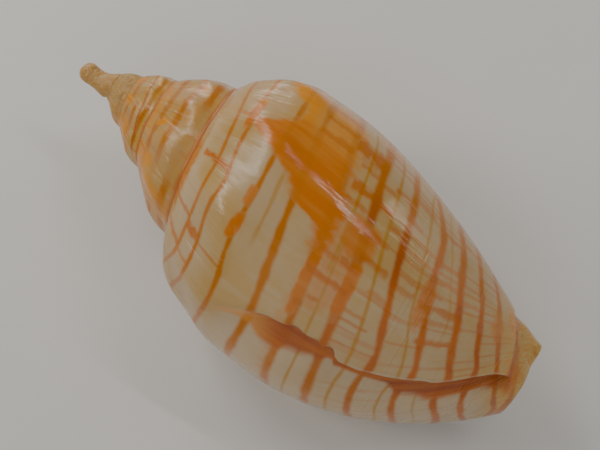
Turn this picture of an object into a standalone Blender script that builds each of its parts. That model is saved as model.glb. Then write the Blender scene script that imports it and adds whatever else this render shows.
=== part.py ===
"""Volute shell: one hollow coiled shell, lying on its aperture.

A snail builds this shell by adding to one growing edge, so the whole form is one outline,
the outer wall seen in half section, that turns about the coil axis while it grows by the
same factor in every turn.  A place on the wall is given by two numbers:

    turn    how many turns before the finished lip the wall was laid down (0 is the lip)
    across  how far along the outline it lies, from the suture (0) to the canal end (1)

Lengths are in metres.  The finished part has +Z up, the apex towards -X, the canal towards
+X and the outer lip at -Y, with its origin under the middle of the part, on the surface
that it lies on.
"""

import math

import bmesh
import bpy
import numpy as np

MM = 0.001

# Growth of the coil
GROWTH_PER_TURN = 1.70
FIRST_TURN = -4.5             # where the first whorl leaves the embryonic finger
BLEND_HEIGHT = 110 * MM       # older stages of the canal end gather towards this height

# Outline of the outer wall at the lip: distance from the coil axis, distance along it
OUTLINE = [
    (25.7 * MM, 42.7 * MM),   # top of the ramp below the suture
    (31.6 * MM, 52.6 * MM),   # shoulder
    (34.1 * MM, 59.2 * MM),
    (34.7 * MM, 66.8 * MM),   # widest place, where the next whorl's suture lies
    (34.4 * MM, 79.0 * MM),
    (28.2 * MM, 94.4 * MM),   # base
    (19.7 * MM, 105.7 * MM),
    (15.4 * MM, 110.4 * MM),
    (7.4 * MM, 117.8 * MM),   # canal end
]
SUTURE_INDEX = 3              # the outline point that carries the next suture

# Lip: the last stretch of wall flares at the canal and turns in a little at mid lip
FLARE_TURN = 0.18
FLARE_MIDDLE = -0.07
FLARE_CANAL = 0.17
WALL = 2.2 * MM

# Older whorls are flatter between their sutures than the last one
FLATTER = 0.5
FLATTER_FROM = -0.72
FLATTER_OVER = 0.35

# Shoulder knobs, with flat facets between them
KNOBS_PER_TURN = 10
KNOB_PHASE = -0.375
KNOB_HEIGHT = 2.6 * MM
KNOB_ROUNDING = 0.035
KNOB_FADE_TURN = 0.30
KNOB_FIRST_TURN = -4.0
KNOB_SHORT_RUN = 0.16
KNOB_LONG_RUN = 0.42
KNOB_SHORT_SHARE = 0.55

# Healed break: place of its edge across the wall, and the step down to the newer wall
BREAK_EDGE = [(0.0, -0.150), (0.28, -0.175), (0.40, -0.203), (0.50, -0.218), (0.62, -0.203),
              (0.74, -0.220), (0.80, -0.236), (0.86, -0.273), (0.90, -0.298), (1.0, -0.330)]
BREAK_ROW = -0.20             # the row of vertices that is bent along the edge
BREAK_GAP = 0.004             # from that row to the next, at the foot of the step
BREAK_STEP = 2.2 * MM
BREAK_STEP_TURN = 0.003
BREAK_HEAL_TURN = 0.085
BREAK_RIM = 0.3 * MM
BREAK_RIM_TURN = 0.008

# Swelling beside the suture on the last quarter turn
SWELL_HEIGHT = 1.6 * MM
SWELL_TURN = -0.22

# Beak: the corner of the columella beside the notch
BEAK_TURN = -0.55
BEAK_REACH_TURN = 0.06
BEAK_START = 0.80
BEAK_RADIUS = 4.2 * MM

# Lumen: the hollow behind the aperture
LUMEN_TURNS = 0.95
NOTCH_TURNS = 0.5             # the canal is open at the front over this much of a turn
PARIETAL_START = 0.05         # where the inside corner lies, past the suture
LUMEN_SHORTENING = 0.25       # how far the closed, older lumen stops short of the canal end
COLUMELLA_HOLLOW = 0.30       # how far the columella is drawn in beside the aperture
HOLLOW_TURN = -0.72           # where it starts to be drawn in
FOLD_HEIGHT = 0.9 * MM
FOLDS = (0.56, 0.66, 0.75)    # places of the three columella folds along the outline

# Blunt end of the columella
END_BULGE = 1.2 * MM
END_SHRINK = 0.3
END_RINGS = 2

# Embryonic finger: radius, distance along the coil axis, and lean away from the axis
FINGER = [(3.3 * MM, 5.3 * MM, 0.5 * MM), (3.1 * MM, 4.4 * MM, 0.85 * MM),
          (2.8 * MM, 3.4 * MM, 1.05 * MM), (2.6 * MM, 2.4 * MM, 1.15 * MM),
          (2.45 * MM, 1.3 * MM, 1.2 * MM), (2.4 * MM, 0.2 * MM, 1.15 * MM),
          (2.4 * MM, -0.6 * MM, 1.1 * MM), (2.2 * MM, -1.3 * MM, 1.1 * MM),
          (1.8 * MM, -1.9 * MM, 1.1 * MM), (1.2 * MM, -2.35 * MM, 1.1 * MM),
          (0.5 * MM, -2.6 * MM, 1.1 * MM)]
FINGER_LEAN_TURN = -0.06

# How it lies
REST_ROLL = math.radians(37.4)     # lip below the level of the coil axis
REST_PITCH = math.radians(4.5)     # canal end lower than the apex

# Fineness
ROWS_PER_TURN = 40
RAMP_COLUMNS = 6
CORNER_COLUMNS = 2
BASE_COLUMNS = 12


def smooth_step(value):
    """Ease from 0 to 1 as the value goes from 0 to 1."""
    value = np.clip(value, 0.0, 1.0)
    return value * value * (3.0 - 2.0 * value)


def full_outline():
    """The outline with its first point at the suture, and how far along each point lies."""
    suture = tuple(length / GROWTH_PER_TURN for length in OUTLINE[SUTURE_INDEX])
    points = np.array([suture] + OUTLINE)
    steps = np.hypot(*np.diff(points, axis=0).T)
    across = np.concatenate([[0.0], np.cumsum(steps)])
    return points, across / across[-1]


POINTS, POINTS_ACROSS = full_outline()
SUTURE_ACROSS = POINTS_ACROSS[SUTURE_INDEX + 1]


def outline_at(across):
    """Radius and height of the lip's outline, as a smooth curve through its points."""
    slopes = np.gradient(POINTS, POINTS_ACROSS, axis=0)
    index = np.searchsorted(POINTS_ACROSS, across, side="right") - 1
    index = np.clip(index, 0, len(POINTS) - 2)
    span = (POINTS_ACROSS[index + 1] - POINTS_ACROSS[index])[..., None]
    s = (across - POINTS_ACROSS[index])[..., None] / span
    start = (2 * s**3 - 3 * s**2 + 1) * POINTS[index]
    end = (3 * s**2 - 2 * s**3) * POINTS[index + 1]
    leave = (s**3 - 2 * s**2 + s) * span * slopes[index]
    arrive = (s**3 - s**2) * span * slopes[index + 1]
    curve = start + end + leave + arrive
    return curve[..., 0], curve[..., 1]


def break_edge(across):
    """Turn at which the healed break crosses the wall."""
    places, turns = zip(*BREAK_EDGE)
    return np.interp(across, places, turns)


def stage(step, across):
    """Turn of a row of vertices, bent so that one row runs along the healed break."""
    edge = break_edge(across)
    edge = BREAK_ROW + (edge - BREAK_ROW) * smooth_step(across / 0.1)
    older = -1.0 + (step + 1.0) * (edge + 1.0) / (BREAK_ROW + 1.0)
    newer = edge * (step / BREAK_ROW)
    bent = np.where(step < BREAK_ROW, older, newer)
    return np.where(step < -1.0, step, bent)


def knob_relief(turn, across):
    """Blunt knobs on the shoulder, with flat facets between them that run out below."""
    phase = KNOBS_PER_TURN * (turn - KNOB_PHASE)
    beside = np.abs(phase - np.round(phase))
    crest = 1.0 - 2.0 * (np.sqrt(beside**2 + KNOB_ROUNDING**2) - KNOB_ROUNDING)
    shoulder = POINTS_ACROSS[2]
    above = smooth_step(across / shoulder)
    short = (1.0 - smooth_step((across - shoulder) / KNOB_SHORT_RUN)) * crest**2
    long = (1.0 - smooth_step((across - shoulder) / KNOB_LONG_RUN)) * crest
    both = KNOB_SHORT_SHARE * short + (1.0 - KNOB_SHORT_SHARE) * long
    fade = smooth_step(-turn / KNOB_FADE_TURN) * smooth_step((turn - KNOB_FIRST_TURN) / 0.8)
    return KNOB_HEIGHT * above**2 * both * fade


def suture_relief(turn, across):
    """What the knobs of the whorl before leave at the suture, so that the whorls meet."""
    before = knob_relief(turn - 1.0, np.full_like(across, SUTURE_ACROSS)) / GROWTH_PER_TURN
    return before * (1.0 - smooth_step(across / 0.12))


def break_ends(across):
    """The break runs out towards the suture and at the canal."""
    return smooth_step((across - 0.20) / 0.30) * smooth_step((0.95 - across) / 0.05)


def break_relief(turn, across):
    """Step down from the broken edge to the newer wall, which heals out towards the lip."""
    past = turn - break_edge(across)
    healed = smooth_step((past - BREAK_STEP_TURN) / BREAK_HEAL_TURN)
    newer = smooth_step(past / BREAK_STEP_TURN) * (1.0 - healed)
    rim = BREAK_RIM * np.exp(-((past / BREAK_RIM_TURN + 1.0) ** 2))
    return (rim - BREAK_STEP * newer) * break_ends(across)


def break_inside(turn, across):
    """The same break seen from inside: a shallow, smooth swelling of the lining."""
    past = turn - break_edge(across)
    return -BREAK_STEP * np.exp(-(((past - 0.01) / 0.03) ** 2)) * break_ends(across)


def suture_swell(turn, across):
    """Swelling of the ramp beside the suture, just before the lip."""
    beside = smooth_step(across / 0.05) * (1.0 - smooth_step((across - 0.07) / 0.14))
    return SWELL_HEIGHT * beside * smooth_step((turn - SWELL_TURN) / 0.15)


def beak(turn, across):
    """Corner of the columella that stands out beside the notch."""
    beside = np.exp(-(((turn - BEAK_TURN) / BEAK_REACH_TURN) ** 2))
    return BEAK_RADIUS * beside * np.clip((across - BEAK_START) / (1.0 - BEAK_START), 0.0, 1.0) ** 2


def first_whorl(turn, across, radius, height):
    """Let the first whorl start at nothing on a ring, where the finger stands."""
    scale = GROWTH_PER_TURN**turn
    ring_scale = GROWTH_PER_TURN ** (FIRST_TURN + 1.0)
    share = across / SUTURE_ACROSS
    started = np.clip(turn - FIRST_TURN, 0.0, 1.0)
    grown = []
    for axis, value in enumerate((radius, height)):
        top = scale * POINTS[0][axis]
        foot = scale * POINTS[SUTURE_INDEX + 1][axis]
        ring = ring_scale * POINTS[0][axis]
        bulge = value - (top + (foot - top) * share)
        grown.append(ring + (foot - ring) * share + bulge * started)
    early = turn < FIRST_TURN + 1.0
    return np.where(early, grown[0], radius), np.where(early, grown[1], height)


def coil(turn, across, scar=break_relief):
    """Radius from the coil axis and height along it of the outer wall."""
    radius, height = outline_at(across)
    flatter = FLATTER * smooth_step((FLATTER_FROM - turn) / FLATTER_OVER)
    share = np.clip(across / SUTURE_ACROSS, 0.0, 1.0)
    inside = np.where(across < SUTURE_ACROSS, flatter, 0.0)
    foot = POINTS[SUTURE_INDEX + 1]
    radius = radius + (POINTS[0][0] + (foot[0] - POINTS[0][0]) * share - radius) * inside
    height = height + (POINTS[0][1] + (foot[1] - POINTS[0][1]) * share - height) * inside
    scale = GROWTH_PER_TURN**turn
    gather = smooth_step((across - SUTURE_ACROSS) / (1.0 - SUTURE_ACROSS))
    height = scale * height + (1.0 - scale) * BLEND_HEIGHT * gather
    lip = np.clip(1.0 + turn / FLARE_TURN, 0.0, 1.0) ** 2
    flare = np.interp(across, [0.1, 0.5, 1.0], [0.0, FLARE_MIDDLE, FLARE_CANAL])
    hollow = COLUMELLA_HOLLOW * smooth_step((HOLLOW_TURN - turn) / 0.4)
    hollow = hollow * smooth_step((across - 0.40) / 0.3)
    radius = scale * radius * (1.0 + flare * lip - hollow)
    knobs = knob_relief(turn, across) + suture_relief(turn, across)
    radius = radius + scale * knobs + scar(turn, across) + suture_swell(turn, across)
    return first_whorl(turn, across, radius + beak(turn, across), height)


def place(turn, radius, height):
    """Point at an azimuth, given in turns past the lip, with the shell as it lies."""
    angle = 2 * math.pi * turn + REST_ROLL
    side = -radius * np.cos(angle)
    up = -radius * np.sin(angle)
    x = height * math.cos(REST_PITCH) + up * math.sin(REST_PITCH)
    z = up * math.cos(REST_PITCH) - height * math.sin(REST_PITCH)
    return np.stack([x, side, z], axis=-1)


def outer_at(turn, across):
    """Point on the outer face of the wall, at a turn."""
    radius, height = coil(turn, across)
    return place(turn, radius, height)


def outer(step, across):
    """Point on the outer face of the wall, on a row of vertices."""
    return outer_at(stage(step, across), across)


def calm_at(turn, across):
    """Point on the outer face as it would be without the sharp edge of the break."""
    radius, height = coil(turn, across, break_inside)
    return place(turn, radius, height)


def wall_normal(turn, across):
    """Unit normal of the wall, pointing out of the shell."""
    reach = 0.002
    low = np.clip(across - reach, 0.0, 1.0)
    high = np.clip(across + reach, 0.0, 1.0)
    along_growth = calm_at(turn + reach, across) - calm_at(turn - reach, across)
    along_outline = calm_at(turn, high) - calm_at(turn, low)
    normal = np.cross(along_growth, along_outline)
    return normal / np.linalg.norm(normal, axis=-1, keepdims=True)


def closed_lumen_end(turn, across, start):
    """Shorten the outline where the older lumen no longer reaches the canal."""
    older = smooth_step((-turn - NOTCH_TURNS) / 0.3)
    return across - (across - start) * LUMEN_SHORTENING * older


def parietal(turn, across):
    """Inner side of the lumen: the whorl before it, with the columella folds."""
    across = closed_lumen_end(turn, across, SUTURE_ACROSS + PARIETAL_START)
    radius, height = coil(turn - 1.0, across)
    inside = smooth_step(-turn / 0.12)
    for place_across in FOLDS:
        ridge = np.exp(-((across - place_across - 0.05 * turn) / 0.018) ** 2)
        radius = radius + FOLD_HEIGHT * inside * ridge
    return place(turn, radius, height)


def lining(step, across):
    """Inner face of the outer wall, which meets the parietal side under the suture."""
    turn = stage(step, across)
    reach = closed_lumen_end(turn, across, 0.0)
    wall = WALL * GROWTH_PER_TURN ** (0.8 * turn)
    point = calm_at(turn, reach) - wall_normal(turn, reach) * np.asarray(wall)[..., None]
    corner = parietal(step, np.full_like(step, SUTURE_ACROSS + PARIETAL_START))
    blend = smooth_step(across / 0.05)[..., None]
    return corner * (1.0 - blend) + point * blend


def sheet(bm, point, first, second):
    """Grid of quads whose vertices are placed by a function of two parameters."""
    grid = bmesh.ops.create_grid(bm, x_segments=len(first) - 1, y_segments=len(second) - 1,
                                 size=1.0)
    columns = np.array([vert.co.xy for vert in grid["verts"]])
    across_first = np.rint((columns[:, 0] + 1.0) / 2.0 * (len(first) - 1)).astype(int)
    across_second = np.rint((columns[:, 1] + 1.0) / 2.0 * (len(second) - 1)).astype(int)
    positions = point(first[across_first], second[across_second])
    for vert, position in zip(grid["verts"], positions):
        vert.co = position


def rows(start, stop):
    """Rows of vertices at even steps, with an extra one just past the healed break."""
    even = np.linspace(start, stop, round((stop - start) * ROWS_PER_TURN) + 1)
    near = [whorl + BREAK_ROW + BREAK_GAP for whorl in range(-4, 1)]
    extra = [value for value in near if start < value < stop]
    return np.unique(np.round(np.concatenate([even, extra]), 6))


def wall_edge(step, depth):
    """Rounded free edge of the wall: along the lip, then back along the notch."""
    row = -np.clip(step - 1.0, 0.0, None)
    across = np.clip(step, 0.0, 1.0)
    outside = outer(row, across)
    inside = lining(row, across)
    back = outer(row - 0.004, across)
    shorter = outer(row, across - 0.004)
    notch = smooth_step((step - 0.97) / 0.06)[..., None]
    forward = (outside - back) * (1.0 - notch) + (outside - shorter) * notch
    forward = forward / np.linalg.norm(forward, axis=-1, keepdims=True)
    bulge = 0.5 * np.linalg.norm(outside - inside, axis=-1) * np.sin(math.pi * depth)
    middle = outside + (inside - outside) * depth[..., None]
    rounded = middle + forward * bulge[..., None] * smooth_step(step / 0.05)[..., None]
    attached = outer(row - 1.0, SUTURE_ACROSS + PARIETAL_START * depth)
    at_suture = (step < 1e-6)[..., None]
    return np.where(at_suture, attached, rounded)


def canal_wall(step, side):
    """Narrow face that closes the older lumen at its front."""
    ends = np.ones_like(step)
    blend = side[..., None]
    return lining(step, ends) * (1.0 - blend) + parietal(step, ends) * blend


def add_walls(bm):
    """All the grown surfaces, meeting along shared rows of vertices."""
    ramp = np.linspace(0.0, SUTURE_ACROSS, RAMP_COLUMNS + 1)
    corner = SUTURE_ACROSS + np.linspace(0.0, PARIETAL_START, CORNER_COLUMNS + 1)
    base = np.linspace(corner[-1], 1.0, BASE_COLUMNS + 1)
    body = np.concatenate([corner, base[1:]])
    lip = np.concatenate([ramp, body[1:]])
    notch = 1.0 - rows(-NOTCH_TURNS, 0.0)[::-1]
    lumen = rows(-LUMEN_TURNS, 0.0)

    sheet(bm, outer, rows(FIRST_TURN, 0.0), ramp)
    sheet(bm, outer, rows(-1.0, 0.0), body)
    sheet(bm, parietal, lumen, base)
    sheet(bm, lining, lumen, lip)
    sheet(bm, wall_edge, np.concatenate([lip, notch[1:]]), np.linspace(0.0, 1.0, 3))
    sheet(bm, canal_wall, rows(-LUMEN_TURNS, -NOTCH_TURNS), np.array([0.0, 1.0]))


def open_loop_near(bm, target):
    """Open edges of the boundary loop whose middle is nearest a point."""
    waiting = {edge for edge in bm.edges if edge.is_boundary}
    loops = []
    while waiting:
        loop = [waiting.pop()]
        for edge in loop:
            for vert in edge.verts:
                linked = [other for other in vert.link_edges if other in waiting]
                waiting.difference_update(linked)
                loop.extend(linked)
        loops.append(loop)

    def distance(loop):
        middle = sum((np.array(vert.co) for edge in loop for vert in edge.verts), np.zeros(3))
        return np.linalg.norm(middle / (2 * len(loop)) - target)

    return min(loops, key=distance)


def grow_loop(bm, loop, move):
    """Extrude a loop of edges once, and return the new loop."""
    grown = bmesh.ops.extrude_edge_only(bm, edges=loop)
    verts = {item for item in grown["geom"] if isinstance(item, bmesh.types.BMVert)}
    move(verts)
    edges = [item for item in grown["geom"] if isinstance(item, bmesh.types.BMEdge)]
    return [edge for edge in edges if verts.issuperset(edge.verts)]


def ring_place(position, radius, height, lean):
    """Move a point along its azimuth to a ring that leans off the coil axis."""
    axis = place(0.0, 0.0, height)
    direction = np.array(position) - axis
    along = place(0.0, 0.0, 1.0) - place(0.0, 0.0, 0.0)
    direction = direction - along * direction.dot(along)
    centre = place(FINGER_LEAN_TURN, lean, height)
    return centre + direction / np.linalg.norm(direction) * radius


def add_finger(bm):
    """Draw the open top of the first whorl out into the embryonic finger."""
    loop = open_loop_near(bm, place(FIRST_TURN, 0.0, 5.0 * MM))
    for radius, height, lean in FINGER:
        def move(verts):
            for vert in verts:
                vert.co = ring_place(vert.co, radius, height, lean)
        loop = grow_loop(bm, loop, move)
    bmesh.ops.contextual_create(bm, geom=loop)


def add_columella_end(bm):
    """Close the front of the columella with a low dome."""
    loop = open_loop_near(bm, place(0.0, 0.0, 112 * MM))
    middle = np.mean([vert.co for edge in loop for vert in edge.verts], axis=0)
    forward = place(0.0, 0.0, 1.0)
    shares = np.linspace(0.0, 1.0, END_RINGS + 1)
    sizes = 1.0 - (1.0 - END_SHRINK) * shares
    rises = END_BULGE * np.sin(math.pi / 2 * shares)
    for size, rise in zip(sizes[1:] / sizes[:-1], np.diff(rises)):
        def move(verts):
            for vert in verts:
                vert.co = middle + (np.array(vert.co) - middle) * size + forward * rise
        loop = grow_loop(bm, loop, move)
    bmesh.ops.contextual_create(bm, geom=loop)


def close_lumen(bm):
    """Close the inner end of the lumen."""
    loop = open_loop_near(bm, place(-LUMEN_TURNS, 12 * MM, 40 * MM))
    bmesh.ops.contextual_create(bm, geom=loop)


def stand(bm):
    """Bring the origin under the middle of the shell, at its lowest point."""
    positions = np.array([vert.co for vert in bm.verts])
    low = positions.min(axis=0)
    high = positions.max(axis=0)
    shift = -np.array([(low[0] + high[0]) / 2, (low[1] + high[1]) / 2, low[2]])
    bmesh.ops.translate(bm, verts=bm.verts, vec=shift)


def shell_material():
    """Glossy cream shell with a warm orange cast."""
    material = bpy.data.materials.new("shell")
    material.use_nodes = True
    shader = material.node_tree.nodes["Principled BSDF"]
    shader.inputs["Base Color"].default_value = (0.80, 0.50, 0.27, 1.0)
    shader.inputs["Roughness"].default_value = 0.28
    shader.inputs["Metallic"].default_value = 0.0
    return material


def make_shell(collection):
    """The one piece of the object."""
    bm = bmesh.new()
    add_walls(bm)
    bmesh.ops.remove_doubles(bm, verts=bm.verts, dist=0.00001)
    add_finger(bm)
    add_columella_end(bm)
    close_lumen(bm)
    bmesh.ops.recalc_face_normals(bm, faces=bm.faces)
    if bm.calc_volume(signed=True) < 0.0:
        bmesh.ops.reverse_faces(bm, faces=bm.faces)
    stand(bm)
    mesh = bpy.data.meshes.new("shell")
    bm.to_mesh(mesh)
    bm.free()
    mesh.shade_smooth()
    mesh.materials.append(shell_material())
    shell = bpy.data.objects.new("shell", mesh)
    collection.objects.link(shell)
    return shell


def main():
    for old in list(bpy.data.objects):
        bpy.data.objects.remove(old, do_unlink=True)
    collection = bpy.data.collections.new("volute_shell")
    bpy.context.scene.collection.children.link(collection)
    make_shell(collection)


main()
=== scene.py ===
"""Volute shell, dressed: an angular, glazed shell with an orange net on cream.

The shell is one surface.  A place on it is given by two numbers, as in the solid:

    turn    how many turns before the finished lip the wall was laid down (0 is the lip)
    across  how far along the outline it lies, from the suture (0) to the canal end (1)

The same two numbers are the surface's UV map, so the net, the growth lines and the healed
break follow the growth of the shell.  Lengths are in metres.
"""

import math

import bmesh
import bpy
import numpy as np
from mathutils import Matrix, Vector


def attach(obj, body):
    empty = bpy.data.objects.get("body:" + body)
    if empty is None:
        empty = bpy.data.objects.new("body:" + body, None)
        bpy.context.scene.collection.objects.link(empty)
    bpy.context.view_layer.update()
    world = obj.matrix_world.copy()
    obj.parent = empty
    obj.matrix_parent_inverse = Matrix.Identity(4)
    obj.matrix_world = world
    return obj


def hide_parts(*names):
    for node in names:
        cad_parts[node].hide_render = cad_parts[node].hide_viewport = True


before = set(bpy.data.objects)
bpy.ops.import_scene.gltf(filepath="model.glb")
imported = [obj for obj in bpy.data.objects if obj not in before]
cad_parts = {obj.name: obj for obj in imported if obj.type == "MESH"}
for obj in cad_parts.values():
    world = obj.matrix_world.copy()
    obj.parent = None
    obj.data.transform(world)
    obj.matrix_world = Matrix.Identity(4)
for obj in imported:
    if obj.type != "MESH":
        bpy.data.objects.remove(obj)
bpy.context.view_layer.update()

MM = 0.001

# Growth of the coil
GROWTH_PER_TURN = 1.70
FIRST_TURN = -4.5
BLEND_HEIGHT = 110 * MM

# Outline of the outer wall at the lip: distance from the coil axis, distance along it
OUTLINE = [
    (25.7 * MM, 42.7 * MM),
    (31.6 * MM, 52.6 * MM),   # shoulder
    (34.1 * MM, 59.2 * MM),
    (34.7 * MM, 66.8 * MM),   # widest place, where the next whorl's suture lies
    (34.4 * MM, 79.0 * MM),
    (28.2 * MM, 94.4 * MM),   # base
    (19.7 * MM, 105.7 * MM),
    (15.4 * MM, 110.4 * MM),
    (7.4 * MM, 117.8 * MM),   # canal end
]
SUTURE_INDEX = 3

# Lip
FLARE_TURN = 0.18
FLARE_MIDDLE = -0.07
FLARE_CANAL = 0.17
WALL = 2.2 * MM

# Older whorls are flatter between their sutures than the last one
FLATTER = 0.5
FLATTER_FROM = -0.72
FLATTER_OVER = 0.35

# Shoulder knobs, with flat facets between them
KNOBS_PER_TURN = 10
KNOB_PHASE = -0.375
KNOB_HEIGHT = 2.6 * MM
KNOB_ROUNDING = 0.025
KNOB_OLD_ROUNDING = 0.06
KNOB_SLANT = 0.11
KNOB_FADE_TURN = 0.30
KNOB_FIRST_TURN = -4.0
KNOB_SHORT_RUN = 0.16
KNOB_LONG_RUN = 0.50
KNOB_SHORT_SHARE = 0.55

# Healed break: place of the ragged edge across the wall, and the step down to the newer wall
BREAK_EDGE = [(0.0, -0.15), (0.28, -0.175), (0.33, -0.186), (0.38, -0.198), (0.42, -0.208),
              (0.46, -0.213), (0.485, -0.219), (0.51, -0.216), (0.53, -0.217), (0.545, -0.213),
              (0.558, -0.217), (0.571, -0.212), (0.578, -0.204), (0.62, -0.203), (0.68, -0.209),
              (0.72, -0.215), (0.755, -0.223), (0.77, -0.224), (0.8, -0.236), (0.83, -0.254),
              (0.86, -0.273), (0.9, -0.298), (1.0, -0.33)]
BREAK_ROW = -0.20
BREAK_STEP = 2.2 * MM
BREAK_STEP_TURN = 0.003
BREAK_SOFT_TURN = 0.016
BREAK_HEAL_TURN = 0.085
BREAK_RIM = 0.3 * MM
BREAK_RIM_TURN = 0.008
BREAK_TUCK_TURN = 0.004
FASCIOLE_ACROSS = 0.915
FASCIOLE_DRIFT = 0.35
FASCIOLE_STEP = 0.9 * MM

# Swelling beside the suture on the last quarter turn
SWELL_HEIGHT = 1.6 * MM
SWELL_TURN = -0.22

# Beak: the corner of the columella beside the notch
BEAK_TURN = -0.55
BEAK_REACH_TURN = 0.06
BEAK_START = 0.80
BEAK_RADIUS = 4.2 * MM

# Lumen
LUMEN_TURNS = 0.95
NOTCH_TURNS = 0.5
PARIETAL_START = 0.05
LUMEN_SHORTENING = 0.25
COLUMELLA_HOLLOW = 0.30
HOLLOW_TURN = -0.72
FOLD_HEIGHT = 0.9 * MM
FOLDS = (0.56, 0.66, 0.75)

# Blunt end of the columella
END_BULGE = 1.2 * MM
END_SHRINK = 0.3
END_RINGS = 6

# Embryonic finger: radius, distance along the coil axis, and lean away from the axis
FINGER = [(3.2 * MM, 5.3 * MM, 0.5 * MM), (2.8 * MM, 4.4 * MM, 0.85 * MM),
          (2.45 * MM, 3.4 * MM, 1.05 * MM), (2.25 * MM, 2.4 * MM, 1.1 * MM),
          (2.2 * MM, 1.3 * MM, 1.15 * MM), (2.3 * MM, 0.2 * MM, 1.15 * MM),
          (2.35 * MM, -0.6 * MM, 1.1 * MM), (2.2 * MM, -1.3 * MM, 1.1 * MM),
          (1.8 * MM, -1.9 * MM, 1.1 * MM), (1.2 * MM, -2.35 * MM, 1.1 * MM),
          (0.5 * MM, -2.6 * MM, 1.1 * MM)]
FINGER_LEAN_TURN = -0.06

# How it lies
REST_ROLL = math.radians(37.4)
REST_PITCH = math.radians(4.5)

# Fineness
ROWS_PER_TURN = 200
RAMP_COLUMNS = 30
CORNER_COLUMNS = 5
BASE_COLUMNS = 62
RIM_SEGMENTS = 8
BREAK_OFFSETS = (-0.0035, -0.002, -0.001, 0.001, 0.002, 0.0035)
WELD = 0.004 * MM


def smooth_step(value):
    """Ease from 0 to 1 as the value goes from 0 to 1."""
    value = np.clip(value, 0.0, 1.0)
    return value * value * (3.0 - 2.0 * value)


def full_outline():
    """The outline with its first point at the suture, and how far along each point lies."""
    suture = tuple(length / GROWTH_PER_TURN for length in OUTLINE[SUTURE_INDEX])
    points = np.array([suture] + OUTLINE)
    steps = np.hypot(*np.diff(points, axis=0).T)
    across = np.concatenate([[0.0], np.cumsum(steps)])
    return points, across / across[-1]


POINTS, POINTS_ACROSS = full_outline()
SUTURE_ACROSS = float(POINTS_ACROSS[SUTURE_INDEX + 1])


def outline_at(across):
    """Radius and height of the lip's outline, as a smooth curve through its points."""
    slopes = np.gradient(POINTS, POINTS_ACROSS, axis=0)
    index = np.searchsorted(POINTS_ACROSS, across, side="right") - 1
    index = np.clip(index, 0, len(POINTS) - 2)
    span = (POINTS_ACROSS[index + 1] - POINTS_ACROSS[index])[..., None]
    s = (across - POINTS_ACROSS[index])[..., None] / span
    start = (2 * s**3 - 3 * s**2 + 1) * POINTS[index]
    end = (3 * s**2 - 2 * s**3) * POINTS[index + 1]
    leave = (s**3 - 2 * s**2 + s) * span * slopes[index]
    arrive = (s**3 - s**2) * span * slopes[index + 1]
    curve = start + end + leave + arrive
    return curve[..., 0], curve[..., 1]


def break_edge(across):
    """Turn at which the healed break crosses the wall."""
    places, turns = zip(*BREAK_EDGE)
    return np.interp(across, places, turns)


def stage(step, across):
    """Turn of a row of vertices, bent so that one row runs along the healed break."""
    edge = break_edge(across)
    edge = BREAK_ROW + (edge - BREAK_ROW) * smooth_step(across / 0.1)
    older = -1.0 + (step + 1.0) * (edge + 1.0) / (BREAK_ROW + 1.0)
    newer = edge * (step / BREAK_ROW)
    bent = np.where(step < BREAK_ROW, older, newer)
    return np.where(step < -1.0, step, bent)


def knob_relief(turn, across):
    """Blunt knobs on the shoulder, with flat facets between them that run out below."""
    slant = KNOB_SLANT * np.clip(across - POINTS_ACROSS[2], 0.0, 0.3)
    phase = KNOBS_PER_TURN * (turn - KNOB_PHASE - slant)
    beside = np.abs(phase - np.round(phase))
    rounding = KNOB_ROUNDING + KNOB_OLD_ROUNDING * smooth_step((-0.7 - turn) / 0.5)
    crest = 1.0 - 2.0 * (np.sqrt(beside**2 + rounding**2) - rounding)
    shoulder = POINTS_ACROSS[2]
    above = smooth_step(across / shoulder)
    short = (1.0 - smooth_step((across - shoulder) / KNOB_SHORT_RUN)) * crest**2
    long = (1.0 - smooth_step((across - shoulder) / KNOB_LONG_RUN)) * crest
    both = KNOB_SHORT_SHARE * short + (1.0 - KNOB_SHORT_SHARE) * long
    fade = smooth_step(-turn / KNOB_FADE_TURN) * smooth_step((turn - KNOB_FIRST_TURN) / 0.8)
    return KNOB_HEIGHT * above**2 * both * fade


def suture_relief(turn, across):
    """What the knobs of the whorl before leave at the suture, so that the whorls meet."""
    before = knob_relief(turn - 1.0, np.full_like(across, SUTURE_ACROSS)) / GROWTH_PER_TURN
    return before * (1.0 - smooth_step(across / 0.12))


def break_ends(across):
    """The break runs out towards the suture and at the canal."""
    return smooth_step((across - 0.20) / 0.30) * smooth_step((0.95 - across) / 0.05)


def break_sharp(across):
    """The broken edge is worn round towards the suture, and sharp from the middle on."""
    return smooth_step((across - 0.38) / 0.09)


def break_relief(turn, across):
    """Step down from the broken edge to the newer wall, which heals out towards the lip."""
    past = turn - break_edge(across)
    healed = smooth_step((past - BREAK_STEP_TURN) / BREAK_HEAL_TURN)
    soft = BREAK_SOFT_TURN * (1.0 - break_sharp(across))
    newer = smooth_step((past + 0.4 * soft) / (BREAK_STEP_TURN + soft)) * (1.0 - healed)
    rim = BREAK_RIM * np.exp(-((past / BREAK_RIM_TURN + 1.0) ** 2)) * break_sharp(across)
    return (rim - BREAK_STEP * newer) * break_ends(across)


def break_inside(turn, across):
    """The same break seen from inside: a shallow, smooth swelling of the lining."""
    past = turn - break_edge(across)
    return -BREAK_STEP * np.exp(-(((past - 0.01) / 0.03) ** 2)) * break_ends(across)


def break_tuck(turn, across):
    """How far the newer wall starts back under the broken edge, in turns."""
    past = turn - break_edge(across)
    under = smooth_step(past / 0.002) * (1.0 - smooth_step((past - 0.003) / 0.012))
    return -BREAK_TUCK_TURN * under * break_ends(across) * break_sharp(across)


def suture_swell(turn, across):
    """Swelling of the ramp beside the suture, just before the lip."""
    beside = smooth_step(across / 0.05) * (1.0 - smooth_step((across - 0.07) / 0.14))
    return SWELL_HEIGHT * beside * smooth_step((turn - SWELL_TURN) / 0.15)


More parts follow.
